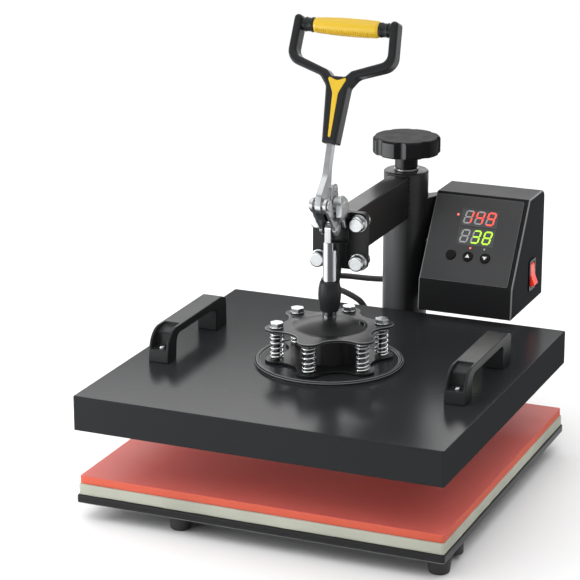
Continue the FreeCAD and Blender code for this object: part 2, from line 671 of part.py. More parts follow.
def build_flange():
    flange = turned([(0, PLATEN_TOP), (75, PLATEN_TOP), (75, 133), (73.4, 134.6), (71.4, 134.6),
                     (70, 133.2), (66, 133.2), (0, 133.2)], 0, 0)
    write("mount_flange", flange)
    seat = star(133.8, SEAT_Z)
    riser = post(44.0, 0, 0, 133.2, 133.8)
    hub = turned([(0, SEAT_Z), (29, SEAT_Z), (27, 159), (23, 159), (23, 148), (0, 148)], 0, 0)
    seat = fuse(seat, riser, hub)
    write("spring_seat", seat)


def build_float_bolts():
    bolts = []
    springs = []
    for angle in SPRING_ANGLES:
        p = polar(SPRING_PCD_R, angle, 0)
        if angle in FRONT_STUDS:
            bolts.append(post(FLOAT_BOLT_R, p.x, p.y, SEAT_Z, STAR_Z0 - 4))
        else:
            shank = post(FLOAT_BOLT_R, p.x, p.y, SEAT_Z, STAR_Z1 + 1)
            rim = post(7.0, p.x, p.y, STAR_Z1 + 0.3, STAR_Z1 + 1.3)
            bolts.append(fuse(shank, rim, hexagon(12.4, p.x, p.y, STAR_Z1 + 1.3, STAR_Z1 + 5.6)))
        tube = post(7.2, p.x, p.y, SEAT_Z + 0.05, STAR_Z0 - 0.1)
        springs.append(tube.cut(post(5.2, p.x, p.y, SEAT_Z, STAR_Z0)))
    write("float_bolts", group(bolts))
    write("float_springs", group(springs))


def build_platen_handle(name, x):
    z = PLATEN_TOP
    side = [(-70, z, 0), (-66, z + 33, 22), (60, z + 34, 5), (71, z + 30, 5), (72, z, 0)]
    gap = [(-50, z - 1, 0), (-48, z + 25, 9), (46, z + 25, 5), (46, z - 1, 0)]
    body = slab_x(side, x - HANDLE_W, x + HANDLE_W)
    body = body.cut(slab_x(gap, x - HANDLE_W - 1, x + HANDLE_W + 1))
    inner = HANDLE_W - 3
    pocket = slab_x([(-80, z + 13, 0), (-55, z + 13, 0), (-53, z + 27, 3), (-37, z + 30.5, 0), (-37, z + 40, 0),
                     (-80, z + 40, 0)], x - inner, x + inner)
    body = body.cut(pocket)
    body = body.cut(post(2.4, x, -60, z - 1, z + 10))
    body = body.cut(post(2.4, x, 59, z - 1, z + 16))
    write(name, body)


def build_terminal():
    """Block behind the platen with a gland that leans along the lead's last run."""
    body = slab_z(rectangle(TERMINAL_X - 12, TERMINAL_X + 12, HALF, 213, 2.0), 99.0, 108.0)
    body = body.cut(post(SLEEVE_R + 2.2, 0, COLUMN_Y, 98.0, 109.0))
    end = ROUTE[-1]
    outward = (ROUTE[-2] - end).normalize()
    collar = rod(8.0, end + outward * 2.0, end + outward * 8.0)
    neck = rod(6.2, end + outward * 8.0, end + outward * 15.0)
    neck = neck.makeFillet(1.2, [e for e in neck.Edges if (e.CenterOfMass - end).Length > 14])
    whole = fuse(body, collar, neck)
    whole = whole.cut(rod(LEAD_R + 0.9, end - outward * 1.5, end + outward * 20))
    write("platen_terminal", whole)


# ---------------------------------------------------------------- control box
def slope_place():
    run = V(0, SLOPE_Y1 - SLOPE_Y0, SLOPE_Z1 - SLOPE_Z0)
    run.normalize()
    out = V(0, -run.z, run.y)
    matrix = FreeCAD.Matrix(1, 0, 0, 0, 0, run.y, out.y, SLOPE_Y0, 0, run.z, out.z, SLOPE_Z0, 0, 0, 0, 1)
    return FreeCAD.Placement(matrix)


SLOPE = slope_place()


def on_slope(shape):
    """Put a shape drawn flat (X across, Y up the slope, Z outward) on the sloping face."""
    shape = shape.copy()
    shape.Placement = SLOPE.multiply(shape.Placement)
    return shape


DISPLAY_X = (64.8, 104.2)
RED_Y = (65.0, 83.5)
GREEN_Y = (43.8, 62.3)
BUTTONS = (("set_button", 61.2, 30.6), ("up_button", 80.2, 30.6), ("down_button", 99.2, 30.6))
BUTTON_R = 5.6
LEDS = ((60.2, 75.9, 1.3), (80.9, 40.2, 1.1), (96.5, 40.2, 1.1))
ROCKER_Y = 239.5
ROCKER_Z = 171.5
ROCKER_STUD_X = 133.0       # pivot studs of the rocker
ROCKER_STUD_R = 1.5


def case_outline(inset):
    i = inset
    return [(CASE_FRONT + i, CASE_Z0 + i, 2.0), (CASE_REAR - i, CASE_Z0 + i, 2.0),
            (CASE_REAR - i, CASE_Z1 - i, 9.0 - i), (SLOPE_Y1 + 0.6 * i, CASE_Z1 - i, 1.2),
            (SLOPE_Y0 + 1.2 * i, SLOPE_Z0 + 0.2 * i, 1.2)]


def build_case():
    shell = slab_x(case_outline(0), CASE_X0, CASE_X1)
    inside = slab_x(case_outline(WALL), CASE_X0 + WALL, CASE_X1 - WALL)
    shell = shell.cut(inside)
    window = on_slope(box(CASE_X0 + 4, CASE_X1 - 8, 5, 92, -6, 3))
    back = box(CASE_X0 + 6, CASE_X1 - 6, CASE_REAR - 4, CASE_REAR + 1, CASE_Z0 + 8, CASE_Z1 - 14)
    hole = box(CASE_X1 - 3, CASE_X1 + 1, ROCKER_Y - 8, ROCKER_Y + 8, ROCKER_Z - 14.5, ROCKER_Z + 14.5)
    outlet = rod(5.0, V(CASE_X0 - 1, LEAD_Y, LEAD_Z), V(CASE_X0 + 3, LEAD_Y, LEAD_Z))
    write("control_case", cut(shell, window, back, hole, outlet))
    cover = slab_y(rectangle(CASE_X0 + 2, CASE_X1 - 2, CASE_Z0 + 3, CASE_Z1 - 10, 4.0),
                   CASE_REAR, CASE_REAR + 1.5)
    cover = cover.cut(box(60, 88, CASE_REAR - 1, CASE_REAR + 3, 156, 176))
    for k in range(6):
        x = 54 + 10 * k
        cover = cover.cut(slab_y(rectangle(x - 1.5, x + 1.5, 200, 228, 1.4), CASE_REAR - 1, CASE_REAR + 3))
    write("case_back", cover)
    inlet = fuse(box(60.2, 87.8, CASE_REAR - 20, CASE_REAR + 3, 156.2, 175.8),
                 slab_y(rectangle(52, 96, 152.5, 179.5, 4.0), CASE_REAR + 1.5, CASE_REAR + 4.5))
    inlet = inlet.cut(slab_y(rectangle(62, 86, 158.5, 173.5, 3.0), CASE_REAR - 16, CASE_REAR + 6))
    for x, z in ((68, 165), (74, 168), (80, 165)):
        inlet = fuse(inlet, box(x - 1, x + 1, CASE_REAR - 17, CASE_REAR, z - 2.5, z + 2.5))
    write("power_inlet", inlet)


def build_panel():
    panel = slab_z(rectangle(CASE_X0 + 1.5, CASE_X1 - 5.5, 1.5, 97, 2.0), 0.05, 1.25)
    for y0, y1 in (RED_Y, GREEN_Y):
        panel = panel.cut(box(DISPLAY_X[0], DISPLAY_X[1], y0, y1, -1, 3))
    for _, x, y in BUTTONS:
        panel = panel.cut(post(BUTTON_R + 0.3, x, y, -1, 3))
    for x, y, r in LEDS:
        panel = panel.cut(post(r, x, y, -1, 3))
    write("control_panel", on_slope(panel))
    for name, (y0, y1) in (("temperature_display", RED_Y), ("timer_display", GREEN_Y)):
        body = box(DISPLAY_X[0] + 0.2, DISPLAY_X[1] - 0.2, y0 + 0.2, y1 - 0.2, -8, 0.7)
        write(name, on_slope(body))
    leds = []
    for x, y, r in LEDS:
        leds.append(on_slope(post(r - 0.05, x, y, -6, 1.2)))
    write("status_leds", group(leds))
    board = box(CASE_X0 + 6, CASE_X1 - 10, 8, 90, -11.6, -10)
    write("circuit_board", on_slope(board))
    for name, x, y in BUTTONS:
        cap = turned([(0, -3.4), (BUTTON_R + 1.2, -3.4), (BUTTON_R + 1.2, -2.2), (BUTTON_R, -2.2),
                      (BUTTON_R, 2.2), (BUTTON_R - 0.8, 2.9), (0, 3.2)], x, y)
        write(name, on_slope(cap))


def build_electrics():
    bezel = slab_x(rectangle(ROCKER_Y - 10.5, ROCKER_Y + 10.5, ROCKER_Z - 17, ROCKER_Z + 17, 3.0),
                   CASE_X1, CASE_X1 + 1.8)
    body = box(CASE_X1 - 18, CASE_X1, ROCKER_Y - 7.8, ROCKER_Y + 7.8, ROCKER_Z - 14.3, ROCKER_Z + 14.3)
    bezel = fuse(bezel, body)
    bezel = bezel.cut(box(CASE_X1 - 12, CASE_X1 + 3, ROCKER_Y - 6.8, ROCKER_Y + 6.8,
                          ROCKER_Z - 13.4, ROCKER_Z + 13.4))
    stud_place = V(ROCKER_STUD_X, ROCKER_Y, ROCKER_Z)
    bezel = bezel.cut(rod(ROCKER_STUD_R + RUNNING, stud_place - V(0, 9, 0), stud_place + V(0, 9, 0)))
    write("switch_body", bezel)
    x = CASE_X1
    rocker = slab_y([(x - 6, ROCKER_Z - 6, 0), (x - 1.5, ROCKER_Z - 12.2, 0), (x + 1.0, ROCKER_Z - 12.6, 0.6),
                     (x + 6.4, ROCKER_Z - 10.6, 1.5), (x + 2.4, ROCKER_Z, 10), (x + 1.6, ROCKER_Z + 12.0, 0.8),
                     (x - 1.6, ROCKER_Z + 12.2, 0), (x - 6, ROCKER_Z + 6, 0)], ROCKER_Y - 6.3, ROCKER_Y + 6.3)
    stud = rod(ROCKER_STUD_R, stud_place - V(0, 7.6, 0), stud_place + V(0, 7.6, 0))
    write("rocker_switch", fuse(rocker, stud))
    write("solid_state_relay", slab_z(rectangle(40, 85, 205, 263, 3.0), CASE_Z0 + 2, CASE_Z0 + 12))
    core = box(40, 62, 238, 266, 185, 215)
    coil = box(37, 65, 242, 262, 190, 210)
    write("control_transformer", fuse(core, coil))
    bracket = slab_z([(22.0, COLUMN_Y - 8, 0), (CASE_X0, COLUMN_Y + 14, 0), (CASE_X0, COLUMN_Y + 34, 0),
                      (16.0, COLUMN_Y + 17.9, 0)], 205.0, 250.0)
    bracket = bracket.cut(post(SLEEVE_R, 0, COLUMN_Y, 200, 260))
    write("box_bracket", bracket)


# ---------------------------------------------------------------- heater lead
LEAD_Y = 252.0
LEAD_Z = 149.0
ROUTE = [V(36, LEAD_Y, LEAD_Z), V(0, 253, 147.5), V(-30, 253, 142), V(-56, 251.5, 140.5), V(-81, 250, 141),
         V(-94, 241, 142), V(-99, 227, 142.5), V(-94, 213, 142.5), V(-81, 204, 141.5), V(-60, 202, 137.5),
         V(-39, 203, 126), V(GLAND_X, GLAND_Y, 103)]


def lead_path(route):
    """Straight runs joined by tangent arcs, each as large as its two runs allow."""
    edges = []
    start = route[0]
    radii = []
    for i in range(1, len(route) - 1):
        before = route[i - 1].sub(route[i])
        after = route[i + 1].sub(route[i])
        shorter = min(before.Length, after.Length)
        turn = math.pi - before.getAngle(after)
        radius = 0.45 * shorter / math.tan(turn / 2)
        radii.append(radius)
        before.normalize()
        after.normalize()
        inward = before.add(after)
        inward.normalize()
        first = route[i].add(before * (0.45 * shorter))
        last = route[i].add(after * (0.45 * shorter))
        middle = route[i].add(inward * (radius / math.cos(turn / 2) - radius))
        edges.append(Part.LineSegment(start, first).toShape())
        edges.append(Part.Arc(first, middle, last).toShape())
        start = last
    edges.append(Part.LineSegment(start, route[-1]).toShape())
    print("lead arc radii:", [round(r, 1) for r in radii])
    return Part.Wire(edges)


def build_lead():
    path = lead_path(ROUTE)
    first = ROUTE[1].sub(ROUTE[0])
    section = Part.Wire([Part.Circle(ROUTE[0], first, LEAD_R).toShape()])
    lead = path.makePipeShell([section], True, False)
    print("lead length", round(path.Length, 1), "volume ratio",
          round(lead.Volume / (math.pi * LEAD_R ** 2 * path.Length), 4))
    write("heater_lead", lead)
    gland = fuse(rod(8.0, V(CASE_X0 + 1, LEAD_Y, LEAD_Z), V(CASE_X0 - 3, LEAD_Y, LEAD_Z)),
                 rod(5.0, V(CASE_X0 + 5, LEAD_Y, LEAD_Z), V(CASE_X0 - 9, LEAD_Y, LEAD_Z)))
    gland = gland.common(box(CASE_X0 - 9, CASE_X0, 230, 275, 130, 170))
    liner = rod(4.9, V(CASE_X0, LEAD_Y, LEAD_Z), V(CASE_X0 + 5, LEAD_Y, LEAD_Z))
    gland = fuse(gland, liner).cut(lead)
    write("case_gland", gland.Solids[0])


def main():
    os.makedirs("parts", exist_ok=True)
    build_tray()
    build_frame()
    build_feet()
    build_post()
    build_pads()
    build_lift()
    build_column()
    build_knob()
    build_arm()
    build_plate()
    build_bracket()
    build_guide()
    build_lever()
    build_handle()
    build_links()
    build_plunger()
    build_star()
    build_platen_cover()
    build_heater()
    build_flange()
    build_float_bolts()
    build_platen_handle("left_handle", -HANDLE_X)
    build_platen_handle("right_handle", HANDLE_X)
    build_terminal()
    build_case()
    build_panel()
    build_electrics()
    build_lead()
    whole = Part.makeCompound(list(PARTS.values())).BoundBox
    print(len(PARTS), "nodes", [round(v, 2) for v in (whole.XMin, whole.XMax, whole.YMin, whole.YMax,
                                                       whole.ZMin, whole.ZMax)])


main()
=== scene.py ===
import json
import math

import bmesh
import bpy
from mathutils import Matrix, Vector, noise


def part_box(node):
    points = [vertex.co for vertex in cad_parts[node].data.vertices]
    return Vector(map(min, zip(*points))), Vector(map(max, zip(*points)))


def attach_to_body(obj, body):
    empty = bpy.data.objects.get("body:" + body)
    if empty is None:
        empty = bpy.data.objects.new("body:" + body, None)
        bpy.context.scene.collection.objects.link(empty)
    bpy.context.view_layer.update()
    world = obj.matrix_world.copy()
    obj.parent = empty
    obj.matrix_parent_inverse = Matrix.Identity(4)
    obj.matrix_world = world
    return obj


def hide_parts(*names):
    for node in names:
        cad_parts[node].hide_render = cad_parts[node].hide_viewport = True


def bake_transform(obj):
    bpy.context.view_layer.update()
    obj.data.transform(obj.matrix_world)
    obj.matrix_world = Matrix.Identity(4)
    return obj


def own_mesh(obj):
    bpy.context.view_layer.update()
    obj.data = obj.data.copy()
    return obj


# Looks of a swing-away heat press.  Lengths are in metres unless a name ends in _MM.

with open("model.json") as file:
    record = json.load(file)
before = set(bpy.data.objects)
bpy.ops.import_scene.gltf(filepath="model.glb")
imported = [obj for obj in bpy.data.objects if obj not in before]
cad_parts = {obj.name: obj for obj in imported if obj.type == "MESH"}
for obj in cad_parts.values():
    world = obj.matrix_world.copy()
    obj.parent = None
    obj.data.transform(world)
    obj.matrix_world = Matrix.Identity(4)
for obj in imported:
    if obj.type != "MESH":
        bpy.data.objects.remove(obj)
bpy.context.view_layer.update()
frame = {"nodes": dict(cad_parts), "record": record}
MM = 0.001
RECORD = frame["record"]
BODY_OF = {n: body for body, nodes in RECORD["behaviour"]["bodies"].items() for n in nodes}
SLOT_OF = {s["node"]: s["material_slot"] for s in RECORD["subparts"]}
JOINT = {j["name"]: j for j in RECORD["behaviour"]["joints"]}


def middle(node):
    low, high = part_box(node)
    return (Vector(low) + Vector(high)) / 2


AXIS = middle("plunger_shaft")                    # the pressing axis
COLUMN = middle("pressure_screw")                 # the column's axis


# ---------------------------------------------------------------- materials
BUMP_STRENGTH = 0.5
METAL_SPREAD = 0.08            # how far a metal's tone falls below its colour


def new_material(name, color, roughness, metallic=0.0):
    material = bpy.data.materials.new(name)
    material.use_nodes = True
    shader = material.node_tree.nodes["Principled BSDF"]
    shader.inputs["Base Color"].default_value = (*color, 1)
    shader.inputs["Roughness"].default_value = roughness
    shader.inputs["Metallic"].default_value = metallic
    return material


def add_noise(material, scale, detail=4.0, stretch=(1, 1, 1)):
    """Noise in the row frame, with scale in features per metre."""
    tree = material.node_tree
    place = tree.nodes.new("ShaderNodeTexCoord")
    mapping = tree.nodes.new("ShaderNodeMapping")
    mapping.inputs["Scale"].default_value = stretch
    grain = tree.nodes.new("ShaderNodeTexNoise")
    grain.inputs["Scale"].default_value = scale
    grain.inputs["Detail"].default_value = detail
    tree.links.new(place.outputs["Object"], mapping.inputs["Vector"])
    tree.links.new(mapping.outputs["Vector"], grain.inputs["Vector"])
    return grain.outputs["Fac"]


def shader_of(material):
    return material.node_tree.nodes["Principled BSDF"]


def vary_color(material, fac, dark, light, low=0.3, high=0.7):
    tree = material.node_tree
    ramp = tree.nodes.new("ShaderNodeValToRGB")
    ramp.color_ramp.elements[0].position = low
    ramp.color_ramp.elements[1].position = high
    ramp.color_ramp.elements[0].color = (*dark, 1)
    ramp.color_ramp.elements[1].color = (*light, 1)
    tree.links.new(fac, ramp.inputs["Fac"])
    tree.links.new(ramp.outputs["Color"], shader_of(material).inputs["Base Color"])


def vary_roughness(material, fac, low, high):
    tree = material.node_tree
    span = tree.nodes.new("ShaderNodeMapRange")
    span.inputs["From Min"].default_value = 0.3
    span.inputs["From Max"].default_value = 0.7
    span.inputs["To Min"].default_value = low
    span.inputs["To Max"].default_value = high
    tree.links.new(fac, span.inputs["Value"])
    tree.links.new(span.outputs["Result"], shader_of(material).inputs["Roughness"])


def add_bump(material, fac, depth):
    tree = material.node_tree
    bump = tree.nodes.new("ShaderNodeBump")
    bump.inputs["Strength"].default_value = BUMP_STRENGTH
    bump.inputs["Distance"].default_value = depth
    tree.links.new(fac, bump.inputs["Height"])
    tree.links.new(bump.outputs["Normal"], shader_of(material).inputs["Normal"])


def painted(name, color, roughness, grain=900.0, depth=0.00012, spread=0.06, gloss=0.5, uneven=0.02):
    """Powder coat or moulded plastic: faint mottling, uneven gloss and a fine orange peel."""
    material = new_material(name, color, roughness)
    shader_of(material).inputs["Specular IOR Level"].default_value = gloss
    cloud = add_noise(material, 9.0, 2.0)
    dark = [c * (1 - spread) for c in color]
    light = [c * (1 + spread) for c in color]
    vary_color(material, cloud, dark, light)
    vary_roughness(material, add_noise(material, 25.0, 2.0), roughness - uneven, roughness + uneven)
    if depth:
        add_bump(material, add_noise(material, grain, 2.0), depth)
    return material


def metal(name, color, roughness, stretch=(1, 1, 1)):
    """Bare or plated metal with uneven polish."""
    material = new_material(name, color, roughness, 1.0)
    dark = [c * (1 - METAL_SPREAD) for c in color]
    vary_color(material, add_noise(material, 70.0, 3.0, stretch), dark, color)
    vary_roughness(material, add_noise(material, 120.0, 3.0, stretch), roughness * 0.9, roughness * 1.1)
    return material


def painted_reflection_bands(name, crest, trough, roughness, azimuth, bands, edges=(0.25, 0.65), metallic=1.0, gloss=0.5):
    """Round upright piece with painted reflection bands: its tone swings between crest and trough as its
    surface turns.
    """
    material = new_material(name, crest, roughness, metallic)
    shader_of(material).inputs["Specular IOR Level"].default_value = gloss
    tree = material.node_tree
    place = tree.nodes.new("ShaderNodeTexCoord")
    split = tree.nodes.new("ShaderNodeSeparateXYZ")
    tree.links.new(place.outputs["Normal"], split.inputs["Vector"])
    turn = tree.nodes.new("ShaderNodeMath")
    turn.operation = "ARCTAN2"
    tree.links.new(split.outputs["Y"], turn.inputs[0])
    tree.links.new(split.outputs["X"], turn.inputs[1])
    for operation, value in (("SUBTRACT", math.radians(azimuth)), ("MULTIPLY", bands), ("COSINE", 0.0)):
        step = tree.nodes.new("ShaderNodeMath")
        step.operation = operation
        step.inputs[1].default_value = value
        tree.links.new(turn.outputs[0], step.inputs[0])
        turn = step
    level = tree.nodes.new("ShaderNodeMapRange")
    level.inputs["From Min"].default_value = -1.0
    tree.links.new(turn.outputs[0], level.inputs["Value"])
    tilt = tree.nodes.new("ShaderNodeMath")
    tilt.operation = "ABSOLUTE"
    tree.links.new(split.outputs["Z"], tilt.inputs[0])
    fade = tree.nodes.new("ShaderNodeMapRange")
    fade.inputs["From Min"].default_value = 0.4
    fade.inputs["From Max"].default_value = 0.8
    fade.inputs["To Min"].default_value = 1.0
    fade.inputs["To Max"].default_value = 0.0
    tree.links.new(tilt.outputs[0], fade.inputs["Value"])
    shade = tree.nodes.new("ShaderNodeMath")
    shade.operation = "MULTIPLY"
    tree.links.new(level.outputs["Result"], shade.inputs[0])
    tree.links.new(fade.outputs["Result"], shade.inputs[1])
    vary_color(material, shade.outputs[0], trough, crest, *edges)
    vary_roughness(material, add_noise(material, 60.0, 2.0), roughness * 0.9, roughness * 1.1)
    return material


def split_tone(name, front, rear, roughness, border):
    """Plated metal at the front, dark behind border (a Y position)."""
    material = new_material(name, front, roughness, 1.0)
    tree = material.node_tree
    place = tree.nodes.new("ShaderNodeTexCoord")
    split = tree.nodes.new("ShaderNodeSeparateXYZ")
    tree.links.new(place.outputs["Object"], split.inputs["Vector"])
    span = tree.nodes.new("ShaderNodeMapRange")
    span.inputs["From Min"].default_value = border
    span.inputs["From Max"].default_value = border + 1.5 * MM
    tree.links.new(split.outputs["Y"], span.inputs["Value"])
    vary_color(material, span.outputs["Result"], front, rear, 0.0, 1.0)
    vary_roughness(material, add_noise(material, 120.0, 3.0), roughness * 0.9, roughness * 1.1)
    return material


def lit(name, color, strength):
    material = new_material(name, color, 0.3)
    shader = shader_of(material)
    shader.inputs["Emission Color"].default_value = (*color, 1)
    shader.inputs["Emission Strength"].default_value = strength
    vary_roughness(material, add_noise(material, 300.0), 0.22, 0.38)
    return material


def make_materials():
    m = {
        "black_steel": painted("black_paint", (0.0125, 0.0128, 0.0135), 0.34, depth=0.00003, gloss=0.22),
        "platen_black": painted("platen_paint", (0.023, 0.024, 0.026), 0.23, depth=0, spread=0.02, gloss=0.06,
                                uneven=0.004),
        "zinc": metal("zinc_plate", (0.54, 0.56, 0.57), 0.24),
        "spring_zinc": metal("spring_zinc", (0.82, 0.84, 0.85), 0.20),
        "stud": metal("stud_steel", (0.16, 0.165, 0.17), 0.25),
        "lever_zinc": metal("lever_zinc", (0.50, 0.51, 0.52), 0.34),
        # chrome, column and knob: painted reflections, light and dark bands set by which way the surface
        # faces
        "chrome": painted_reflection_bands("chrome", (0.09, 0.094, 0.10), (0.56, 0.57, 0.585), 0.14, -62.0, 4.0),
        "column_paint_reflections": painted_reflection_bands("column_paint_reflections", (0.085, 0.087, 0.090), (0.0110, 0.0113, 0.0120), 0.36,
                               -103.0, 2.0, (0.62, 1.0), 0.0, 0.3),
        "knob_plastic_reflections": painted_reflection_bands("knob_plastic_reflections", (0.125, 0.127, 0.130), (0.010, 0.010, 0.011), 0.50,
                               -112.0, 2.0, (0.72, 1.0), 0.0, 0.05),
        "toggle_zinc": metal("toggle_zinc", (0.56, 0.575, 0.58), 0.36),
        "bracket_zinc": split_tone("bracket_zinc", (0.52, 0.535, 0.54), (0.03, 0.031, 0.032), 0.36,
                                   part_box("toggle_bracket")[0][1] + 17 * MM),
        # a paint with no reflection for left and right faces: painted shade
        "painted_side_shade": painted("painted_side_shade", (0.034, 0.035, 0.037), 0.5, depth=0, spread=0.03, gloss=0.0),
        # lighter copies of the paint for bevel faces: painted highlights along broken edges
        "case_edge_painted_highlight": painted("case_edge_painted_highlight", (0.22, 0.22, 0.225), 0.34, 1000.0, 0.00004, gloss=0.3),
        "edge_painted_highlight": painted("edge_painted_highlight", (0.20, 0.202, 0.206), 0.34, 1000.0, 0.00004, gloss=0.3),
        "steel": metal("plain_steel", (0.45, 0.45, 0.46), 0.30),
        "rubber": painted("rubber", (0.018, 0.018, 0.018), 0.58, 1200.0),
        "felt": painted("felt", (0.44, 0.45, 0.38), 0.95, 1400.0, 0.0006, 0.14, 0.2),
        "silicone": painted("silicone_foam", (0.64, 0.112, 0.088), 0.50, 1700.0, 0.0001, 0.03, 0.6),
        "black_plastic": painted("gloss_black_plastic", (0.011, 0.011, 0.012), 0.22, 1600.0, 0.00002,
                                 gloss=0.10),
        "satin_plastic": painted("satin_black_plastic", (0.019, 0.020, 0.021), 0.33, 1300.0, 0.00004,
                                 gloss=0.16),
        "yellow_plastic": painted("yellow_plastic", (0.68, 0.44, 0.020), 0.40, 1100.0, 0.0001, 0.05),
        "aluminium": metal("aluminium", (0.72, 0.73, 0.75), 0.38, (1, 9, 1)),
        "insulation": painted("mineral_wool", (0.70, 0.68, 0.60), 0.95, 700.0, 0.0008, 0.2),
        "display_red": painted("display_window", (0.082, 0.082, 0.087), 0.30, 1500.0, 0.00002, 0.04, 0.3),
        "led": lit("led_red", (1.0, 0.16, 0.12), 1.0),
        "circuit": painted("circuit_board", (0.03, 0.16, 0.06), 0.40),
        "relay": painted("relay_plastic", (0.72, 0.70, 0.64), 0.45),
        "transformer": metal("transformer_steel", (0.30, 0.28, 0.26), 0.5, (12, 1, 1)),
        "brass": metal("brass", (0.70, 0.50, 0.20), 0.3),
        "rocker_red": lit("rocker_red", (0.80, 0.030, 0.014), 0.42),
        "segment_red": lit("segment_red", (1.0, 0.085, 0.06), 0.95),
        "segment_green": lit("segment_green", (0.50, 0.95, 0.05), 0.62),
        "segment_off": painted("segment_off", (0.44, 0.44, 0.45), 0.45),
        "white_print": painted("white_print", (0.80, 0.80, 0.79), 0.5),
        "case_paint": painted("case_paint", (0.0165, 0.017, 0.018), 0.34, 1000.0, 0.00004, gloss=0.06),
        "panel_film": painted("panel_film", (0.052, 0.053, 0.055), 0.40, 1800.0, 0.00003, 0.03, 0.25),
        "pad_edge": painted("pad_edge", (0.60, 0.095, 0.050), 0.75, 900.0, 0.0003, 0.08),
        "floor": painted("floor", (0.93, 0.93, 0.93), 0.9, 40.0, 0.0001, 0.005, 0.1),
    }
    m["display_green"] = m["display_red"]
    return m


MATERIAL = make_materials()
SPECIAL = {"control_case": "case_paint", "case_back": "case_paint", "control_panel": "panel_film",
           "lever_bar": "lever_zinc", "toggle_bracket": "bracket_zinc", "pivot_pins": "toggle_zinc",
           "toggle_links": "toggle_zinc", "link_pin": "toggle_zinc", "column_sleeve": "column_paint_reflections",
           "inner_post": "column_paint_reflections", "pressure_knob": "knob_plastic_reflections"}


def material_for(node):
    return MATERIAL[SPECIAL.get(node, SLOT_OF[node])]


# ---------------------------------------------------------------- mesh helpers
def new_object(name, mesh, material):
    obj = bpy.data.objects.new(name, mesh)
    bpy.context.scene.collection.objects.link(obj)
    mesh.materials.clear()
    mesh.materials.append(material)
    return obj


def from_points(name, points, faces, material):
    mesh = bpy.data.meshes.new(name)
    mesh.from_pydata([tuple(p) for p in points], [], faces)
    mesh.validate()
    mesh.shade_smooth()
    mesh.set_sharp_from_angle(angle=math.radians(38))
    return new_object(name, mesh, material)


def attach(obj, body, slot, *nodes):
    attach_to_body(obj, body)
    if nodes:
        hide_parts(*nodes)
    return obj


def rings(sections):
    """Points and faces of a skin over equal closed rings of points, with both ends closed."""
    points = []
    faces = []
    count = len(sections[0])
    for section in sections:
        points.extend(section)
    for i in range(len(sections) - 1):
        for k in range(count):
            a = i * count + k
            b = i * count + (k + 1) % count
            faces.append((a, b, b + count, a + count))
    faces.append(tuple(reversed(range(count))))
    faces.append(tuple(range(len(points) - count, len(points))))
    return points, faces


def lathe(profile, centre, axis, sides=32, shape=None):
    """Skin turned about axis through centre, from (radius, height); shape(angle, i) scales a radius."""
    up = Vector(axis).normalized()
    across = up.orthogonal().normalized()
    other = up.cross(across)
    sections = []
    for i, (radius, height) in enumerate(profile):
        ring = []
        for k in range(sides):
            angle = 2 * math.pi * k / sides
            r = radius * (shape(angle, i) if shape else 1.0)
            ring.append(centre + up * height + across * (r * math.cos(angle)) + other * (r * math.sin(angle)))
        sections.append(ring)
    return rings(sections)


def tube(path, radius, sides=12):
    """Round skin along a path of points, without twist."""
    path = [Vector(p) for p in path]
    direction = (path[1] - path[0]).normalized()
    side = direction.orthogonal().normalized()
    sections = []
    for i, point in enumerate(path):
        ahead = path[min(i + 1, len(path) - 1)]
        behind = path[max(i - 1, 0)]
        direction = (ahead - behind).normalized()
        side = (side - direction * side.dot(direction)).normalized()
        other = direction.cross(side)
        ring = []
        for k in range(sides):
            angle = 2 * math.pi * k / sides
            ring.append(point + side * (radius * math.cos(angle)) + other * (radius * math.sin(angle)))
        sections.append(ring)
    return rings(sections)


def islands(node):
    """(lowest, highest) corners of each separate solid in a CAD node."""
    work = bmesh.new()
    work.from_mesh(frame["nodes"][node].data)
    bmesh.ops.remove_doubles(work, verts=work.verts, dist=1e-6)
    seen = set()
    boxes = []
    for vert in work.verts:
        if vert in seen:
            continue
        stack = [vert]
        seen.add(vert)
        found = []
        while stack:
            here = stack.pop()
            found.append(here.co.copy())
            for edge in here.link_edges:
                there = edge.other_vert(here)
                if there not in seen:
                    seen.add(there)
                    stack.append(there)
        low = Vector([min(p[i] for p in found) for i in range(3)])
        high = Vector([max(p[i] for p in found) for i in range(3)])
        boxes.append((low, high))
    work.free()
    return sorted(boxes, key=lambda b: tuple(round(v, 5) for v in b[0]))


USUAL_CREASE = 32.0                                # least angle of an edge that is broken, degrees
CREASE = {"control_case": 14.0}
# painted highlight along a node's broken edges: a lighter material on its bevel faces
EDGE_HIGHLIGHT = {"control_case": "case_edge_painted_highlight", "lower_tray": "edge_painted_highlight", "star_plate": "edge_painted_highlight",
       "mount_flange": "edge_painted_highlight", "control_panel": "edge_painted_highlight"}
SIDE_FACING = 0.7                                  # how far across a normal points on a left or right face
# the nodes whose left and right faces get painted shade: a paint that reflects nothing
SHADED_SIDE_NODES = ("platen_cover", "control_case", "case_back", "heating_plate")


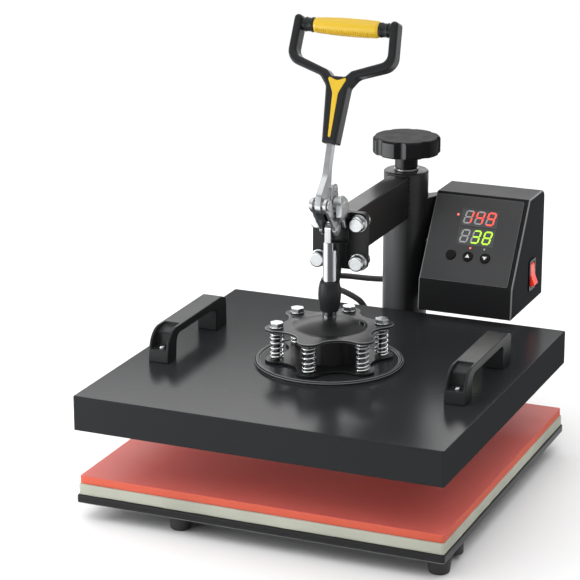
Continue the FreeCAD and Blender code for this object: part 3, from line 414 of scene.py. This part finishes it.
def rounded(node, width, limit):
    """The CAD node's shape with its edges broken, as the moulded, cast or painted piece has them."""
    source = frame["nodes"][node]
    work = bmesh.new()
    work.from_mesh(source.data)
    bmesh.ops.remove_doubles(work, verts=work.verts, dist=2e-6)
    bmesh.ops.dissolve_limit(work, angle_limit=math.radians(0.6), verts=work.verts, edges=work.edges,
                             use_dissolve_boundaries=False)
    mesh = bpy.data.meshes.new(node + "_skin")
    work.to_mesh(mesh)
    work.free()
    mesh.shade_smooth()
    obj = new_object(node + "_skin", mesh, material_for(node))
    bevel = obj.modifiers.new("edges", "BEVEL")
    bevel.width = width
    bevel.segments = 3
    bevel.limit_method = "ANGLE"
    bevel.angle_limit = math.radians(limit)
    bevel.use_clamp_overlap = False
    bevel.harden_normals = False
    # painted highlight: the bevel faces take the lighter edge material
    if node in EDGE_HIGHLIGHT:
        mesh.materials.append(MATERIAL[EDGE_HIGHLIGHT[node]])
        bevel.material = len(mesh.materials) - 1
    # painted shade: faces turned left or right take the reflectionless side material
    if node in SHADED_SIDE_NODES:
        mesh.materials.append(MATERIAL["painted_side_shade"])
        side_shade_slot = len(mesh.materials) - 1
        for face in mesh.polygons:
            if abs(face.normal.x) > SIDE_FACING:
                face.material_index = side_shade_slot
    weighted = obj.modifiers.new("normals", "WEIGHTED_NORMAL")
    weighted.keep_sharp = True
    weighted.weight = 60
    return attach(obj, BODY_OF[node], SLOT_OF[node], node)


ROUNDED_MM = {
    "lower_tray": 0.9, "base_spine": 0.5, "rear_crossbar": 0.8, "inner_post": 0.5, "post_bolts": 0.4,
    "rubber_feet": 0.7, "column_sleeve": 0.4, "arm_tube": 1.2, "clamp_plate": 0.7, "clamp_bolts": 0.5,
    "toggle_bracket": 0.5, "pivot_pins": 0.5, "shaft_guide": 0.5, "box_bracket": 0.5,
    "control_case": 1.3, "case_back": 0.3, "power_inlet": 0.4, "control_panel": 0.25,
    "switch_body": 0.4, "case_gland": 0.4, "pressure_knob": 1.0, "pressure_screw": 0.4,
    "thrust_washer": 0.3, "lever_bar": 0.45, "link_pin": 0.5, "handle_frame": 0.35,
    "handle_inlay": 0.3, "toggle_links": 0.45, "plunger_shaft": 0.5, "star_plate": 0.6,
    "platen_cover": 0.25, "heating_plate": 0.3, "mount_flange": 0.35, "spring_seat": 0.4,
    "float_bolts": 0.45, "left_handle": 1.1, "right_handle": 1.1, "platen_terminal": 0.5,
    "set_button": 0.3, "up_button": 0.3, "down_button": 0.3, "rocker_switch": 0.6,
    "foot_screws": 0.3, "lift_bush": 0.3,
}


def build_rounded():
    for node, width in ROUNDED_MM.items():
        rounded(node, width * MM, CREASE.get(node, USUAL_CREASE))
    for node, obj in frame["nodes"].items():
        obj.data.materials.clear()
        obj.data.materials.append(material_for(node))


# ---------------------------------------------------------------- springs and studs
WIRE_R = 0.95 * MM
COILS = 6.5
STEPS_PER_COIL = 26
END_CROWDING = 0.05            # how much closer the end coils lie than the working ones
THREAD_PITCH = 1.0 * MM
THREAD_ROOT_R = 3.02 * MM
THREAD_CREST_R = 3.4 * MM


def build_springs():
    seats = islands("float_springs")
    for k, (low, high) in enumerate(seats):
        centre = (low + high) / 2
        mean = (high.x - low.x) / 2 - WIRE_R
        height = high.z - low.z
        steps = int(COILS * STEPS_PER_COIL)
        path = []
        for i in range(steps + 1):
            t = i / steps
            angle = 2 * math.pi * COILS * t + k
            z = low.z + WIRE_R + (height - 2 * WIRE_R) * (t - END_CROWDING * math.sin(2 * math.pi * t))
            path.append((centre.x + mean * math.cos(angle), centre.y + mean * math.sin(angle), z))
        spring = from_points(f"spring_{k}", *tube(path, WIRE_R, 10), MATERIAL["spring_zinc"])
        attach(spring, "platen", "zinc", "float_springs")
        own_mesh(spring)


def build_threads():
    """Rolled thread on each stud, inside its spring."""
    for k, (low, high) in enumerate(islands("float_springs")):
        centre = (low + high) / 2
        profile = []
        rounds = int((high.z - low.z - 4.5 * MM) / THREAD_PITCH)
        for i in range(2 * rounds + 1):
            radius = THREAD_ROOT_R if i % 2 == 0 else THREAD_CREST_R
            profile.append((radius, i * THREAD_PITCH / 2))
        base = Vector((centre.x, centre.y, low.z + 0.6 * MM))
        thread = from_points(f"stud_thread_{k}", *lathe(profile, base, (0, 0, 1), 20), MATERIAL["stud"])
        attach(thread, "platen", "zinc")


# ---------------------------------------------------------------- screws
def screw_head(name, centre, out, radius, height, body, slot):
    """Pan head with a cross recess."""
    def cross(angle, i):
        if i < 5:
            return 1.0
        lobe = abs(math.cos(2 * angle))
        return 0.42 + 0.58 * lobe ** 3
    profile = [(radius, 0), (radius, 0.35 * height), (0.93 * radius, 0.72 * height),
               (0.78 * radius, 0.95 * height), (0.60 * radius, height), (0.56 * radius, 0.98 * height),
               (0.46 * radius, 0.35 * height), (0.05 * radius, 0.30 * height)]
    piece = from_points(name, *lathe(profile, centre, out, 40, cross), MATERIAL[slot])
    return attach(piece, body, slot)


INLET_SCREW_H = 0.1 * MM       # the inlet's screws stand almost flush with its face


def build_screws():
    low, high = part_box("case_back")
    inset = 6 * MM
    k = 0
    for x in (low[0] + inset, high[0] - inset):
        for z in (low[2] + inset, high[2] - inset):
            place = Vector((x, high[1], z))
            screw_head(f"case_screw_{k}", place, (0, 1, 0), 2.9 * MM, 1.6 * MM, "head", "zinc")
            k += 1
    low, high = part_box("power_inlet")
    for side in (-1, 1):
        x = (low[0] + high[0]) / 2 + side * 18.5 * MM
        place = Vector((x, high[1] - INLET_SCREW_H, (low[2] + high[2]) / 2))
        screw_head(f"inlet_screw_{side + 1}", place, (0, 1, 0), 2.2 * MM, INLET_SCREW_H, "head", "zinc")


def build_handle_screws():
    for name in ("left_handle", "right_handle"):
        low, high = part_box(name)
        x = (low[0] + high[0]) / 2
        front = Vector((x, low[1] + 10 * MM, low[2] + 13.0 * MM))
        screw_head(name + "_screw", front, (0, 0, 1), 3.6 * MM, 2.2 * MM, "platen", "zinc")


# ---------------------------------------------------------------- grip
GRIP_STEPS = 168
RIB_STEPS = 6                  # a rib and the groove beside it
RIB_DEPTH = 0.07
RIB_MIDDLE = math.radians(210)  # where the ribs lie round the grip: low and to the front


def build_grip():
    low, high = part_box("grip_sleeve")
    centre = Vector(((low[0] + high[0]) / 2, (low[1] + high[1]) / 2, (low[2] + high[2]) / 2))
    half = (high[0] - low[0]) / 2
    profile = []
    for i in range(GRIP_STEPS + 1):
        t = -1 + 2 * i / GRIP_STEPS
        # fuller towards the right, eased at both ends
        body = 9.15 - 1.15 * (t - 0.12) ** 2 + 0.15 * t
        ease = 1.0 - 0.10 * max(0.0, abs(t) - 0.93) / 0.07
        profile.append((body * ease * MM, t * half))
    ends = [(6.45 * MM, -half)] + profile + [(6.45 * MM, half)]

    def ribbed(angle, i):
        """Ribs on the lower side, fading out towards the smooth top."""
        if i < 8 or i > GRIP_STEPS - 6:
            return 1.0
        under = (math.cos(angle - RIB_MIDDLE) - 0.3) / 0.3
        return 1.0 - RIB_DEPTH * min(1.0, max(0.0, under)) * (i % RIB_STEPS < RIB_STEPS // 2)

    points, faces = lathe(ends, centre, (1, 0, 0), 56, ribbed)
    grip = from_points("grip", points, faces, MATERIAL["yellow_plastic"])
    attach(grip, "lever", "yellow_plastic", "grip_sleeve")
    for side in (-1, 1):
        # collar between the grip and the handle's arm
        x = centre.x + side * (half + 4.6 * MM)
        base = Vector((x, centre.y, centre.z))
        rim = [(6.4 * MM, -4.4 * MM), (7.4 * MM, -4.0 * MM), (7.6 * MM, -2.0 * MM), (7.0 * MM, -1.2 * MM),
               (6.9 * MM, 3.0 * MM), (7.5 * MM, 4.6 * MM), (6.4 * MM, 5.2 * MM)]
        collar = from_points(f"grip_collar_{side + 1}", *lathe(rim, base, (side, 0, 0), 40),
                             MATERIAL["satin_plastic"])
        attach(collar, "lever", "satin_plastic")


# ---------------------------------------------------------------- pads
def soft_slab(name, node, corner, edge, wave, material, slot):
    """Cut pad: rounded plan corners, softened rims and a slightly uneven surface."""
    low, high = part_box(node)
    low = Vector(low)
    high = Vector(high)
    centre = (low + high) / 2
    half = (high - low) / 2
    per_side = 40
    arc = 6
    outline = []
    for quarter in range(4):
        sx = (1, -1, -1, 1)[quarter]
        sy = (1, 1, -1, -1)[quarter]
        mid = Vector((sx * (half.x - corner), sy * (half.y - corner)))
        for i in range(arc + 1):
            angle = math.pi / 2 * (quarter + i / arc)
            outline.append(mid + Vector((math.cos(angle), math.sin(angle))) * corner)
        nxt = (quarter + 1) % 4
        to = Vector(((1, -1, -1, 1)[nxt] * (half.x - corner), (1, 1, -1, -1)[nxt] * (half.y - corner)))
        start = outline[-1]
        angle = math.pi / 2 * (quarter + 1)
        end = to + Vector((math.cos(angle), math.sin(angle))) * corner
        for i in range(1, per_side):
            outline.append(start.lerp(end, i / per_side))
    levels = []
    bands = 5
    for i in range(bands + 1):
        a = math.pi / 2 * i / bands
        levels.append((edge * (1 - math.sin(a)), -half.z + edge * (1 - math.cos(a))))
    for i in range(1, 6):
        levels.append((0.0, -half.z + edge + (2 * half.z - 2 * edge) * i / 6))
    for i in range(bands + 1):
        a = math.pi / 2 * i / bands
        levels.append((edge * (1 - math.cos(a)), half.z - edge * (1 - math.sin(a))))
    sections = []
    for inset, z in levels:
        ring = []
        for p in outline:
            q = p * (1 - inset / p.length)
            here = centre + Vector((q.x, q.y, z))
            wobble = noise.noise(here * 420) * wave + noise.noise(here * 45) * wave
            pull = max(0.0, wobble + 0.6 * wave)
            here.x -= pull * (q.x / max(abs(q.x), abs(q.y)))
            here.y -= pull * (q.y / max(abs(q.x), abs(q.y)))
            ring.append(here)
        sections.append(ring)
    for shrink in (0.97, 0.9, 0.75, 0.55, 0.3, 0.12):
        ring = []
        for p in outline:
            q = p * shrink
            z = half.z - 0.12 * MM * (1 + noise.noise(Vector((q.x, q.y, 0)) * 30))
            ring.append(centre + Vector((q.x, q.y, z)))
        sections.append(ring)
    pad = from_points(name, *rings(sections), material)
    pad.data.set_sharp_from_angle(angle=math.radians(75))
    attach(pad, BODY_OF[node], slot, node)
    return pad


def build_pads():
    pad = soft_slab("silicone_sheet", "silicone_pad", 2.5 * MM, 0.7 * MM, 0.10 * MM,
                    MATERIAL["silicone"], "silicone")
    pad.data.materials.append(MATERIAL["pad_edge"])
    for face in pad.data.polygons:
        face.material_index = 0 if abs(face.normal.z) > 0.6 else 1
    soft_slab("felt_sheet", "felt_pad", 3.0 * MM, 1.0 * MM, 0.35 * MM, MATERIAL["felt"], "felt")


# ---------------------------------------------------------------- control panel
PANEL_OUT = -Vector(JOINT["set_button_press"]["axis"])
PANEL_UP = Vector((1, 0, 0)).cross(PANEL_OUT) * -1
if PANEL_UP.z < 0:
    PANEL_UP = -PANEL_UP
SEGMENTS = {"1": "bc", "3": "abcdg", "4": "bcfg", "8": "abcdefg", "9": "abcdfg", " ": ""}
DIGIT_W = 7.6 * MM
DIGIT_H = 13.4 * MM
DIGIT_PITCH = 12.4 * MM
BAR = 1.7 * MM
SLANT = math.tan(math.radians(9))
DISPLAY_DEPTH = 8.7 * MM


def on_panel(centre, across, up, out=0.0):
    return centre + Vector((1, 0, 0)) * across + PANEL_UP * up + PANEL_OUT * out


def outermost(node):
    """How far the node's mesh reaches out of the panel, from its middle."""
    centre = middle(node)
    return max((v.co - centre).dot(PANEL_OUT) for v in frame["nodes"][node].data.vertices)


def prism(name, corners, centre, lift, thick, material, body, slot):
    """Thin raised print or light on the sloping panel, with a bevelled rim."""
    middle_x = sum(c[0] for c in corners) / len(corners)
    middle_y = sum(c[1] for c in corners) / len(corners)
    levels = [(1.0, 0.0), (1.0, 0.6 * thick), (0.88, thick)]
    sections = []
    for scale, height in levels:
        ring = []
        for x, y in corners:
            across = middle_x + (x - middle_x) * scale
            up = middle_y + (y - middle_y) * scale
            ring.append(on_panel(centre, across, up, lift + height))
        sections.append(ring)
    piece = from_points(name, *rings(sections), material)
    return attach(piece, body, slot)


def segment_bars():
    """Outline of each of the seven bars, in a digit centred on zero."""
    w = DIGIT_W / 2
    h = DIGIT_H / 2
    t = BAR / 2
    gap = 0.25 * MM

    def flat(y):
        return [(-w + gap + t, y - t), (w - gap - t, y - t), (w - gap, y), (w - gap - t, y + t),
                (-w + gap + t, y + t), (-w + gap, y)]

    def tall(x, y0, y1):
        return [(x - t, y0 + t + gap), (x, y0 + gap), (x + t, y0 + t + gap), (x + t, y1 - t - gap),
                (x, y1 - gap), (x - t, y1 - t - gap)]

    return {"a": flat(h), "g": flat(0), "d": flat(-h), "b": tall(w, 0, h), "c": tall(w, -h, 0),
            "f": tall(-w, 0, h), "e": tall(-w, -h, 0)}


def build_display(node, text, lit_slot):
    face = middle(node) + PANEL_OUT * (DISPLAY_DEPTH / 2)
    for k, symbol in enumerate(text):
        for name, corners in segment_bars().items():
            skewed = [(x + y * SLANT + (k - 1) * DIGIT_PITCH, y) for x, y in corners]
            on = name in SEGMENTS[symbol]
            slot = lit_slot if on else "segment_off"
            prism(f"{node}_{k}{name}", skewed, face, 0.0, 0.18 * MM, MATERIAL[slot], "head", SLOT_OF[node])


def build_panel():
    build_display("temperature_display", "149", "segment_red")
    build_display("timer_display", " 38", "segment_green")
    for k, (low, high) in enumerate(islands("status_leds")):
        centre = (low + high) / 2
        radius = (high.x - low.x) / 2
        profile = [(radius, -3.0 * MM), (radius, 3.4 * MM), (radius * 0.9, 3.8 * MM),
                   (radius * 0.6, 4.05 * MM), (radius * 0.1, 4.15 * MM)]
        slot = "led" if k < 2 else "segment_off"
        led = from_points(f"led_{k}", *lathe(profile, centre, PANEL_OUT, 20), MATERIAL[slot])
        attach(led, "head", "led", "status_leds")
    for node, sign in (("up_button", 1), ("down_button", -1)):
        face = middle(node) + PANEL_OUT * outermost(node)
        size = 2.5 * MM
        corners = [(-size, -0.62 * size * sign), (size, -0.62 * size * sign), (0, 0.95 * size * sign)]
        prism(node + "_arrow", corners, face, 0.0, 0.12 * MM, MATERIAL["white_print"], node, "black_plastic")


# ---------------------------------------------------------------- heater lead
LEAD_MM = [(36, 252, 149), (0, 253, 147.5), (-30, 253, 142), (-56, 251.5, 140.5), (-81, 250, 141),
           (-94, 241, 142), (-99, 227, 142.5), (-94, 213, 142.5), (-81, 204, 141.5), (-60, 202, 137.5),
           (-39, 203, 126), (-32.5, 202, 103)]
LEAD_R = 3.25 * MM


def build_lead():
    curve = bpy.data.curves.new("lead_line", "CURVE")
    curve.dimensions = "3D"
    curve.resolution_u = 16
    spline = curve.splines.new("NURBS")
    spline.points.add(len(LEAD_MM) - 1)
    for point, (x, y, z) in zip(spline.points, LEAD_MM):
        point.co = (x * MM, y * MM + AXIS.y, z * MM, 1)
    spline.order_u = 3
    spline.use_endpoint_u = True
    line = bpy.data.objects.new("lead_line", curve)
    bpy.context.scene.collection.objects.link(line)
    bpy.context.view_layer.update()
    sampled = bpy.data.meshes.new_from_object(line)
    path = [v.co.copy() for v in sampled.vertices]
    bpy.data.objects.remove(line)
    lead = from_points("lead_sheath", *tube(path, LEAD_R, 20), MATERIAL["rubber"])
    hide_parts("heater_lead")
    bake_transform(lead)


# ---------------------------------------------------------------- welds
def build_welds():
    """Bead along the arm's sides where it meets the column."""
    low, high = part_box("arm_tube")
    half = 11 * MM
    reach = math.sqrt((24 * MM) ** 2 - half ** 2)
    y = COLUMN.y - reach
    for side in (-1, 1):
        path = []
        count = 60
        for i in range(count + 1):
            z = low[2] + 10 * MM + (high[2] - low[2] - 14 * MM) * i / count
            path.append((side * half, y - 0.3 * MM, z))
        points, faces = tube(path, 1.5 * MM, 10)
        centres = [Vector(p) for p in path]
        moved = []
        for i, p in enumerate(points):
            ring = i // 10
            swell = 1.0 + 0.22 * math.sin(ring * 1.1)
            moved.append(centres[ring] + (p - centres[ring]) * swell)
        bead = from_points(f"weld_{side + 1}", moved, faces, MATERIAL["black_steel"])
        attach(bead, "head", "black_steel")


# ---------------------------------------------------------------- stage
FLOOR_HALF = 6.0


def build_stage():
    mesh = bpy.data.meshes.new("floor")
    corners = [(x * FLOOR_HALF, y * FLOOR_HALF, 0) for x, y in ((-1, -1), (1, -1), (1, 1), (-1, 1))]
    mesh.from_pydata(corners, [], [(0, 1, 2, 3)])
    floor = new_object("floor", mesh, MATERIAL["floor"])


def area_light(name, place, target, size, power):
    data = bpy.data.lights.new(name, "AREA")
    data.shape = "RECTANGLE"
    data.size = size[0]
    data.size_y = size[1]
    data.energy = power
    light = bpy.data.objects.new(name, data)
    bpy.context.scene.collection.objects.link(light)
    light.location = place
    light.visible_camera = False
    light.rotation_euler = (Vector(target) - Vector(place)).to_track_quat("-Z", "Y").to_euler()
    return light


def build_light():
    world = bpy.data.worlds.new("studio")
    bpy.context.scene.world = world
    world.use_nodes = True
    tree = world.node_tree
    background = tree.nodes["Background"]
    place = tree.nodes.new("ShaderNodeTexCoord")
    split = tree.nodes.new("ShaderNodeSeparateXYZ")
    ramp = tree.nodes.new("ShaderNodeValToRGB")
    low, high = ramp.color_ramp.elements
    low.position = 0.0
    low.color = (0.85, 0.85, 0.85, 1)
    high.position = 1.0
    high.color = (1, 1, 1, 1)
    for position, level in ((0.10, 0.14), (0.42, 0.10), (0.68, 0.55)):
        stop = ramp.color_ramp.elements.new(position)
        stop.color = (level, level, level, 1)
    tree.links.new(place.outputs["Generated"], split.inputs["Vector"])
    tree.links.new(split.outputs["Z"], ramp.inputs["Fac"])
    tree.links.new(ramp.outputs["Color"], background.inputs["Color"])
    background.inputs["Strength"].default_value = 2.0
    area_light("left_low", (-0.80, -0.50, 0.30), (0, 0.05, 0.15), (0.30, 0.58), 4.0)
    area_light("front_low", (-0.62, -1.25, 0.24), (-0.1, -0.2, 0.10), (0.5, 0.45), 2.6)
    area_light("left_high", (-1.9, -1.25, 0.85), (0, 0, 0.2), (0.45, 1.0), 4)
    area_light("back_box", (-0.55, 0.95, 0.67), (0, -0.2, 0.13), (1.3, 0.22), 4.2)
    area_light("right_fill", (2.2, -1.0, 0.9), (0, 0, 0.25), (0.5, 0.8), 0.6)


LENS = 143.43
CAMERA_PLACE = (0.82638, -2.08433, 0.88841)
AZIMUTH = math.radians(23.117)
ELEVATION = math.radians(17.26)


def build_camera():
    data = bpy.data.cameras.new("camera")
    data.lens = LENS
    data.sensor_width = 36.0
    data.clip_start = 0.05
    data.clip_end = 50
    camera = bpy.data.objects.new("camera", data)
    bpy.context.scene.collection.objects.link(camera)
    camera.location = CAMERA_PLACE
    camera.rotation_euler = (math.pi / 2 - ELEVATION, 0, AZIMUTH)
    bpy.context.scene.camera = camera


build_rounded()
build_springs()
build_threads()
build_screws()
build_handle_screws()
build_grip()
build_pads()
build_panel()
build_lead()
build_welds()
build_stage()
build_light()
build_camera()
bpy.context.scene.view_settings.view_transform = "Standard"
